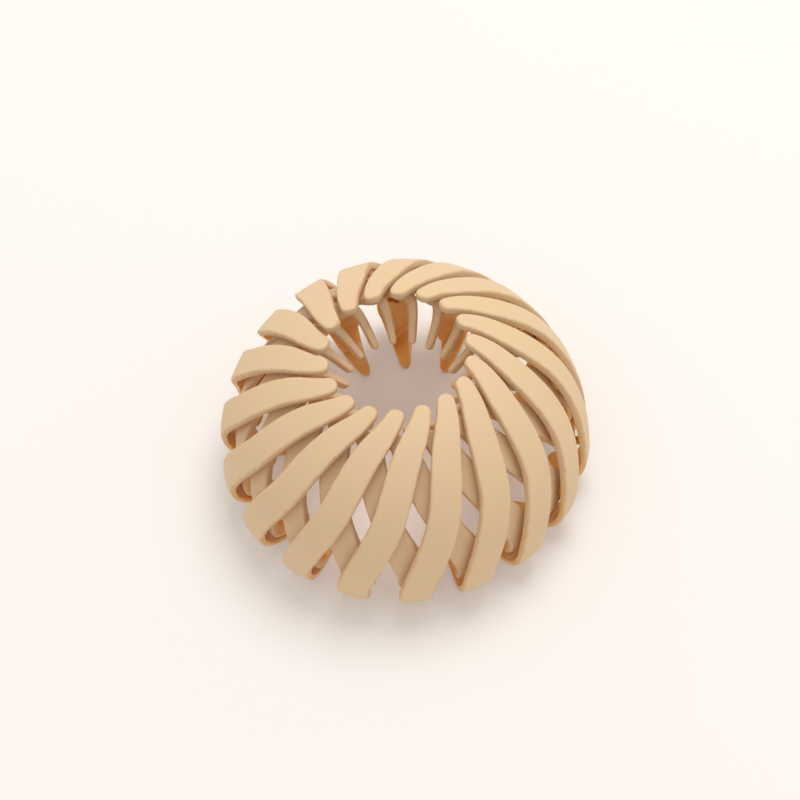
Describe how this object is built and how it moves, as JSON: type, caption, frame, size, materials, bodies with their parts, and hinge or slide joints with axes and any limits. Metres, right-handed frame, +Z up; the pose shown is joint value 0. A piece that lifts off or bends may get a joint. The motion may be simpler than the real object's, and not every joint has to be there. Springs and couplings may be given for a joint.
{
  "type": "bird nest hair clip",
  "caption": "Ring of curved, crossing ribs pivoted like a scissor, which opens over a hair bun and closes down on it; its inner ribs end in teeth round the top hole.",
  "frame": {"origin": "centre of the ring, at the level that the closed clip rests on", "axes": "+Z up along the ring's axis, out of the top hole; +X through the first rivet"},
  "size_m": [0.0798, 0.08, 0.0429],
  "materials": {
    "soft_coat": "beige soft-touch coat, matte",
    "amber_plastic": "bare amber moulded plastic, glossy"
  },
  "bodies": {
    "outer_rib_01": {"outer_rib_01": "soft_coat"},
    "outer_rib_02": {"outer_rib_02": "soft_coat"},
    "outer_rib_03": {"outer_rib_03": "soft_coat"},
    "outer_rib_04": {"outer_rib_04": "soft_coat"},
    "outer_rib_05": {"outer_rib_05": "soft_coat"},
    "outer_rib_06": {"outer_rib_06": "soft_coat"},
    "outer_rib_07": {"outer_rib_07": "soft_coat"},
    "outer_rib_08": {"outer_rib_08": "soft_coat"},
    "outer_rib_09": {"outer_rib_09": "soft_coat"},
    "outer_rib_10": {"outer_rib_10": "soft_coat"},
    "outer_rib_11": {"outer_rib_11": "soft_coat"},
    "outer_rib_12": {"outer_rib_12": "soft_coat"},
    "outer_rib_13": {"outer_rib_13": "soft_coat"},
    "outer_rib_14": {"outer_rib_14": "soft_coat"},
    "outer_rib_15": {"outer_rib_15": "soft_coat"},
    "outer_rib_16": {"outer_rib_16": "soft_coat"},
    "outer_rib_17": {"outer_rib_17": "soft_coat"},
    "outer_rib_18": {"outer_rib_18": "soft_coat"},
    "inner_rib_01": {"inner_rib_01": "soft_coat"},
    "inner_rib_02": {"inner_rib_02": "soft_coat"},
    "inner_rib_03": {"inner_rib_03": "soft_coat"},
    "inner_rib_04": {"inner_rib_04": "soft_coat"},
    "inner_rib_05": {"inner_rib_05": "soft_coat"},
    "inner_rib_06": {"inner_rib_06": "soft_coat"},
    "inner_rib_07": {"inner_rib_07": "soft_coat"},
    "inner_rib_08": {"inner_rib_08": "soft_coat"},
    "inner_rib_09": {"inner_rib_09": "soft_coat"},
    "inner_rib_10": {"inner_rib_10": "soft_coat"},
    "inner_rib_11": {"inner_rib_11": "soft_coat"},
    "inner_rib_12": {"inner_rib_12": "soft_coat"},
    "inner_rib_13": {"inner_rib_13": "soft_coat"},
    "inner_rib_14": {"inner_rib_14": "soft_coat"},
    "inner_rib_15": {"inner_rib_15": "soft_coat"},
    "inner_rib_16": {"inner_rib_16": "soft_coat"},
    "inner_rib_17": {"inner_rib_17": "soft_coat"},
    "inner_rib_18": {"inner_rib_18": "soft_coat"},
    "rivet_01": {"rivet_01": "amber_plastic"},
    "rivet_02": {"rivet_02": "amber_plastic"},
    "rivet_03": {"rivet_03": "amber_plastic"},
    "rivet_04": {"rivet_04": "amber_plastic"},
    "rivet_05": {"rivet_05": "amber_plastic"},
    "rivet_06": {"rivet_06": "amber_plastic"},
    "rivet_07": {"rivet_07": "amber_plastic"},
    "rivet_08": {"rivet_08": "amber_plastic"},
    "rivet_09": {"rivet_09": "amber_plastic"},
    "rivet_10": {"rivet_10": "amber_plastic"},
    "rivet_11": {"rivet_11": "amber_plastic"},
    "rivet_12": {"rivet_12": "amber_plastic"},
    "rivet_13": {"rivet_13": "amber_plastic"},
    "rivet_14": {"rivet_14": "amber_plastic"},
    "rivet_15": {"rivet_15": "amber_plastic"},
    "rivet_16": {"rivet_16": "amber_plastic"},
    "rivet_17": {"rivet_17": "amber_plastic"},
    "rivet_18": {"rivet_18": "amber_plastic"}
  },
  "joints": [
    {"name": "ring_open", "type": "hinge", "parent": "rivet_01", "child": "outer_rib_01", "pos_m": [0.03544, 0, 0.027], "axis": [-0.866, 0, -0.5], "range_deg": [0, 11]},
    {"name": "inner_rib_01_turn", "type": "hinge", "parent": "rivet_01", "child": "inner_rib_01", "pos_m": [0.03544, 0, 0.027], "axis": [0.866, 0, 0.5], "range_deg": [0, 11]},
    {"name": "rivet_02_slide", "type": "slide", "parent": "rivet_01", "child": "rivet_02", "axis": [-0.1736, 0.9848, 0], "range_m": [0, 0.005]},
    {"name": "outer_rib_02_turn", "type": "hinge", "parent": "rivet_02", "child": "outer_rib_02", "pos_m": [0.03331, 0.01212, 0.027], "axis": [-0.8138, -0.2962, -0.5], "range_deg": [0, 11]},
    {"name": "inner_rib_02_turn", "type": "hinge", "parent": "rivet_02", "child": "inner_rib_02", "pos_m": [0.03331, 0.01212, 0.027], "axis": [0.8138, 0.2962, 0.5], "range_deg": [0, 11]},
    {"name": "rivet_03_slide", "type": "slide", "parent": "rivet_01", "child": "rivet_03", "axis": [-0.342, 0.9397, 0], "range_m": [0, 0.00986]},
    {"name": "outer_rib_03_turn", "type": "hinge", "parent": "rivet_03", "child": "outer_rib_03", "pos_m": [0.02715, 0.02278, 0.027], "axis": [-0.6634, -0.5567, -0.5], "range_deg": [0, 11]},
    {"name": "inner_rib_03_turn", "type": "hinge", "parent": "rivet_03", "child": "inner_rib_03", "pos_m": [0.02715, 0.02278, 0.027], "axis": [0.6634, 0.5567, 0.5], "range_deg": [0, 11]},
    {"name": "rivet_04_slide", "type": "slide", "parent": "rivet_01", "child": "rivet_04", "axis": [-0.5, 0.866, 0], "range_m": [0, 0.01441]},
    {"name": "outer_rib_04_turn", "type": "hinge", "parent": "rivet_04", "child": "outer_rib_04", "pos_m": [0.01772, 0.0307, 0.027], "axis": [-0.433, -0.75, -0.5], "range_deg": [0, 11]},
    {"name": "inner_rib_04_turn", "type": "hinge", "parent": "rivet_04", "child": "inner_rib_04", "pos_m": [0.01772, 0.0307, 0.027], "axis": [0.433, 0.75, 0.5], "range_deg": [0, 11]},
    {"name": "rivet_05_slide", "type": "slide", "parent": "rivet_01", "child": "rivet_05", "axis": [-0.6428, 0.766, 0], "range_m": [0, 0.01852]},
    {"name": "outer_rib_05_turn", "type": "hinge", "parent": "rivet_05", "child": "outer_rib_05", "pos_m": [0.00615, 0.03491, 0.027], "axis": [-0.1504, -0.8529, -0.5], "range_deg": [0, 11]},
    {"name": "inner_rib_05_turn", "type": "hinge", "parent": "rivet_05", "child": "inner_rib_05", "pos_m": [0.00615, 0.03491, 0.027], "axis": [0.1504, 0.8529, 0.5], "range_deg": [0, 11]},
    {"name": "rivet_06_slide", "type": "slide", "parent": "rivet_01", "child": "rivet_06", "axis": [-0.766, 0.6428, 0], "range_m": [0, 0.02208]},
    {"name": "outer_rib_06_turn", "type": "hinge", "parent": "rivet_06", "child": "outer_rib_06", "pos_m": [-0.00615, 0.03491, 0.027], "axis": [0.1504, -0.8529, -0.5], "range_deg": [0, 11]},
    {"name": "inner_rib_06_turn", "type": "hinge", "parent": "rivet_06", "child": "inner_rib_06", "pos_m": [-0.00615, 0.03491, 0.027], "axis": [-0.1504, 0.8529, 0.5], "range_deg": [0, 11]},
    {"name": "rivet_07_slide", "type": "slide", "parent": "rivet_01", "child": "rivet_07", "axis": [-0.866, 0.5, 0], "range_m": [0, 0.02496]},
    {"name": "outer_rib_07_turn", "type": "hinge", "parent": "rivet_07", "child": "outer_rib_07", "pos_m": [-0.01772, 0.0307, 0.027], "axis": [0.433, -0.75, -0.5], "range_deg": [0, 11]},
    {"name": "inner_rib_07_turn", "type": "hinge", "parent": "rivet_07", "child": "inner_rib_07", "pos_m": [-0.01772, 0.0307, 0.027], "axis": [-0.433, 0.75, 0.5], "range_deg": [0, 11]},
    {"name": "rivet_08_slide", "type": "slide", "parent": "rivet_01", "child": "rivet_08", "axis": [-0.9397, 0.342, 0], "range_m": [0, 0.02708]},
    {"name": "outer_rib_08_turn", "type": "hinge", "parent": "rivet_08", "child": "outer_rib_08", "pos_m": [-0.02715, 0.02278, 0.027], "axis": [0.6634, -0.5567, -0.5], "range_deg": [0, 11]},
    {"name": "inner_rib_08_turn", "type": "hinge", "parent": "rivet_08", "child": "inner_rib_08", "pos_m": [-0.02715, 0.02278, 0.027], "axis": [-0.6634, 0.5567, 0.5], "range_deg": [0, 11]},
    {"name": "rivet_09_slide", "type": "slide", "parent": "rivet_01", "child": "rivet_09", "axis": [-0.9848, 0.1736, 0], "range_m": [0, 0.02838]},
    {"name": "outer_rib_09_turn", "type": "hinge", "parent": "rivet_09", "child": "outer_rib_09", "pos_m": [-0.03331, 0.01212, 0.027], "axis": [0.8138, -0.2962, -0.5], "range_deg": [0, 11]},
    {"name": "inner_rib_09_turn", "type": "hinge", "parent": "rivet_09", "child": "inner_rib_09", "pos_m": [-0.03331, 0.01212, 0.027], "axis": [-0.8138, 0.2962, 0.5], "range_deg": [0, 11]},
    {"name": "rivet_10_slide", "type": "slide", "parent": "rivet_01", "child": "rivet_10", "axis": [-1, 0, 0], "range_m": [0, 0.02882]},
    {"name": "outer_rib_10_turn", "type": "hinge", "parent": "rivet_10", "child": "outer_rib_10", "pos_m": [-0.03544, 0, 0.027], "axis": [0.866, 0, -0.5], "range_deg": [0, 11]},
    {"name": "inner_rib_10_turn", "type": "hinge", "parent": "rivet_10", "child": "inner_rib_10", "pos_m": [-0.03544, 0, 0.027], "axis": [-0.866, 0, 0.5], "range_deg": [0, 11]},
    {"name": "rivet_11_slide", "type": "slide", "parent": "rivet_01", "child": "rivet_11", "axis": [-0.9848, -0.1736, 0], "range_m": [0, 0.02838]},
    {"name": "outer_rib_11_turn", "type": "hinge", "parent": "rivet_11", "child": "outer_rib_11", "pos_m": [-0.03331, -0.01212, 0.027], "axis": [0.8138, 0.2962, -0.5], "range_deg": [0, 11]},
    {"name": "inner_rib_11_turn", "type": "hinge", "parent": "rivet_11", "child": "inner_rib_11", "pos_m": [-0.03331, -0.01212, 0.027], "axis": [-0.8138, -0.2962, 0.5], "range_deg": [0, 11]},
    {"name": "rivet_12_slide", "type": "slide", "parent": "rivet_01", "child": "rivet_12", "axis": [-0.9397, -0.342, 0], "range_m": [0, 0.02708]},
    {"name": "outer_rib_12_turn", "type": "hinge", "parent": "rivet_12", "child": "outer_rib_12", "pos_m": [-0.02715, -0.02278, 0.027], "axis": [0.6634, 0.5567, -0.5], "range_deg": [0, 11]},
    {"name": "inner_rib_12_turn", "type": "hinge", "parent": "rivet_12", "child": "inner_rib_12", "pos_m": [-0.02715, -0.02278, 0.027], "axis": [-0.6634, -0.5567, 0.5], "range_deg": [0, 11]},
    {"name": "rivet_13_slide", "type": "slide", "parent": "rivet_01", "child": "rivet_13", "axis": [-0.866, -0.5, 0], "range_m": [0, 0.02496]},
    {"name": "outer_rib_13_turn", "type": "hinge", "parent": "rivet_13", "child": "outer_rib_13", "pos_m": [-0.01772, -0.0307, 0.027], "axis": [0.433, 0.75, -0.5], "range_deg": [0, 11]},
    {"name": "inner_rib_13_turn", "type": "hinge", "parent": "rivet_13", "child": "inner_rib_13", "pos_m": [-0.01772, -0.0307, 0.027], "axis": [-0.433, -0.75, 0.5], "range_deg": [0, 11]},
    {"name": "rivet_14_slide", "type": "slide", "parent": "rivet_01", "child": "rivet_14", "axis": [-0.766, -0.6428, 0], "range_m": [0, 0.02208]},
    {"name": "outer_rib_14_turn", "type": "hinge", "parent": "rivet_14", "child": "outer_rib_14", "pos_m": [-0.00615, -0.03491, 0.027], "axis": [0.1504, 0.8529, -0.5], "range_deg": [0, 11]},
    {"name": "inner_rib_14_turn", "type": "hinge", "parent": "rivet_14", "child": "inner_rib_14", "pos_m": [-0.00615, -0.03491, 0.027], "axis": [-0.1504, -0.8529, 0.5], "range_deg": [0, 11]},
    {"name": "rivet_15_slide", "type": "slide", "parent": "rivet_01", "child": "rivet_15", "axis": [-0.6428, -0.766, 0], "range_m": [0, 0.01852]},
    {"name": "outer_rib_15_turn", "type": "hinge", "parent": "rivet_15", "child": "outer_rib_15", "pos_m": [0.00615, -0.03491, 0.027], "axis": [-0.1504, 0.8529, -0.5], "range_deg": [0, 11]},
    {"name": "inner_rib_15_turn", "type": "hinge", "parent": "rivet_15", "child": "inner_rib_15", "pos_m": [0.00615, -0.03491, 0.027], "axis": [0.1504, -0.8529, 0.5], "range_deg": [0, 11]},
    {"name": "rivet_16_slide", "type": "slide", "parent": "rivet_01", "child": "rivet_16", "axis": [-0.5, -0.866, 0], "range_m": [0, 0.01441]},
    {"name": "outer_rib_16_turn", "type": "hinge", "parent": "rivet_16", "child": "outer_rib_16", "pos_m": [0.01772, -0.0307, 0.027], "axis": [-0.433, 0.75, -0.5], "range_deg": [0, 11]},
    {"name": "inner_rib_16_turn", "type": "hinge", "parent": "rivet_16", "child": "inner_rib_16", "pos_m": [0.01772, -0.0307, 0.027], "axis": [0.433, -0.75, 0.5], "range_deg": [0, 11]},
    {"name": "rivet_17_slide", "type": "slide", "parent": "rivet_01", "child": "rivet_17", "axis": [-0.342, -0.9397, 0], "range_m": [0, 0.00986]},
    {"name": "outer_rib_17_turn", "type": "hinge", "parent": "rivet_17", "child": "outer_rib_17", "pos_m": [0.02715, -0.02278, 0.027], "axis": [-0.6634, 0.5567, -0.5], "range_deg": [0, 11]},
    {"name": "inner_rib_17_turn", "type": "hinge", "parent": "rivet_17", "child": "inner_rib_17", "pos_m": [0.02715, -0.02278, 0.027], "axis": [0.6634, -0.5567, 0.5], "range_deg": [0, 11]},
    {"name": "rivet_18_slide", "type": "slide", "parent": "rivet_01", "child": "rivet_18", "axis": [-0.1736, -0.9848, 0], "range_m": [0, 0.005]},
    {"name": "outer_rib_18_turn", "type": "hinge", "parent": "rivet_18", "child": "outer_rib_18", "pos_m": [0.03331, -0.01212, 0.027], "axis": [-0.8138, 0.2962, -0.5], "range_deg": [0, 11]},
    {"name": "inner_rib_18_turn", "type": "hinge", "parent": "rivet_18", "child": "inner_rib_18", "pos_m": [0.03331, -0.01212, 0.027], "axis": [0.8138, -0.2962, 0.5], "range_deg": [0, 11]}
  ],
  "couplings": [
    {"joint": "inner_rib_01_turn", "follows": "ring_open", "ratio": 1},
    {"joint": "rivet_02_slide", "follows": "ring_open", "m_per_rad": 0.026065},
    {"joint": "outer_rib_02_turn", "follows": "ring_open", "ratio": 1},
    {"joint": "inner_rib_02_turn", "follows": "ring_open", "ratio": 1},
    {"joint": "rivet_03_slide", "follows": "ring_open", "m_per_rad": 0.051337},
    {"joint": "outer_rib_03_turn", "follows": "ring_open", "ratio": 1},
    {"joint": "inner_rib_03_turn", "follows": "ring_open", "ratio": 1},
    {"joint": "rivet_04_slide", "follows": "ring_open", "m_per_rad": 0.07505},
    {"joint": "outer_rib_04_turn", "follows": "ring_open", "ratio": 1},
    {"joint": "inner_rib_04_turn", "follows": "ring_open", "ratio": 1},
    {"joint": "rivet_05_slide", "follows": "ring_open", "m_per_rad": 0.096482},
    {"joint": "outer_rib_05_turn", "follows": "ring_open", "ratio": 1},
    {"joint": "inner_rib_05_turn", "follows": "ring_open", "ratio": 1},
    {"joint": "rivet_06_slide", "follows": "ring_open", "m_per_rad": 0.11498},
    {"joint": "outer_rib_06_turn", "follows": "ring_open", "ratio": 1},
    {"joint": "inner_rib_06_turn", "follows": "ring_open", "ratio": 1},
    {"joint": "rivet_07_slide", "follows": "ring_open", "m_per_rad": 0.12999},
    {"joint": "outer_rib_07_turn", "follows": "ring_open", "ratio": 1},
    {"joint": "inner_rib_07_turn", "follows": "ring_open", "ratio": 1},
    {"joint": "rivet_08_slide", "follows": "ring_open", "m_per_rad": 0.14105},
    {"joint": "outer_rib_08_turn", "follows": "ring_open", "ratio": 1},
    {"joint": "inner_rib_08_turn", "follows": "ring_open", "ratio": 1},
    {"joint": "rivet_09_slide", "follows": "ring_open", "m_per_rad": 0.14782},
    {"joint": "outer_rib_09_turn", "follows": "ring_open", "ratio": 1},
    {"joint": "inner_rib_09_turn", "follows": "ring_open", "ratio": 1},
    {"joint": "rivet_10_slide", "follows": "ring_open", "m_per_rad": 0.1501},
    {"joint": "outer_rib_10_turn", "follows": "ring_open", "ratio": 1},
    {"joint": "inner_rib_10_turn", "follows": "ring_open", "ratio": 1},
    {"joint": "rivet_11_slide", "follows": "ring_open", "m_per_rad": 0.14782},
    {"joint": "outer_rib_11_turn", "follows": "ring_open", "ratio": 1},
    {"joint": "inner_rib_11_turn", "follows": "ring_open", "ratio": 1},
    {"joint": "rivet_12_slide", "follows": "ring_open", "m_per_rad": 0.14105},
    {"joint": "outer_rib_12_turn", "follows": "ring_open", "ratio": 1},
    {"joint": "inner_rib_12_turn", "follows": "ring_open", "ratio": 1},
    {"joint": "rivet_13_slide", "follows": "ring_open", "m_per_rad": 0.12999},
    {"joint": "outer_rib_13_turn", "follows": "ring_open", "ratio": 1},
    {"joint": "inner_rib_13_turn", "follows": "ring_open", "ratio": 1},
    {"joint": "rivet_14_slide", "follows": "ring_open", "m_per_rad": 0.11498},
    {"joint": "outer_rib_14_turn", "follows": "ring_open", "ratio": 1},
    {"joint": "inner_rib_14_turn", "follows": "ring_open", "ratio": 1},
    {"joint": "rivet_15_slide", "follows": "ring_open", "m_per_rad": 0.096482},
    {"joint": "outer_rib_15_turn", "follows": "ring_open", "ratio": 1},
    {"joint": "inner_rib_15_turn", "follows": "ring_open", "ratio": 1},
    {"joint": "rivet_16_slide", "follows": "ring_open", "m_per_rad": 0.07505},
    {"joint": "outer_rib_16_turn", "follows": "ring_open", "ratio": 1},
    {"joint": "inner_rib_16_turn", "follows": "ring_open", "ratio": 1},
    {"joint": "rivet_17_slide", "follows": "ring_open", "m_per_rad": 0.051337},
    {"joint": "outer_rib_17_turn", "follows": "ring_open", "ratio": 1},
    {"joint": "inner_rib_17_turn", "follows": "ring_open", "ratio": 1},
    {"joint": "rivet_18_slide", "follows": "ring_open", "m_per_rad": 0.026065},
    {"joint": "outer_rib_18_turn", "follows": "ring_open", "ratio": 1},
    {"joint": "inner_rib_18_turn", "follows": "ring_open", "ratio": 1}
  ]
}
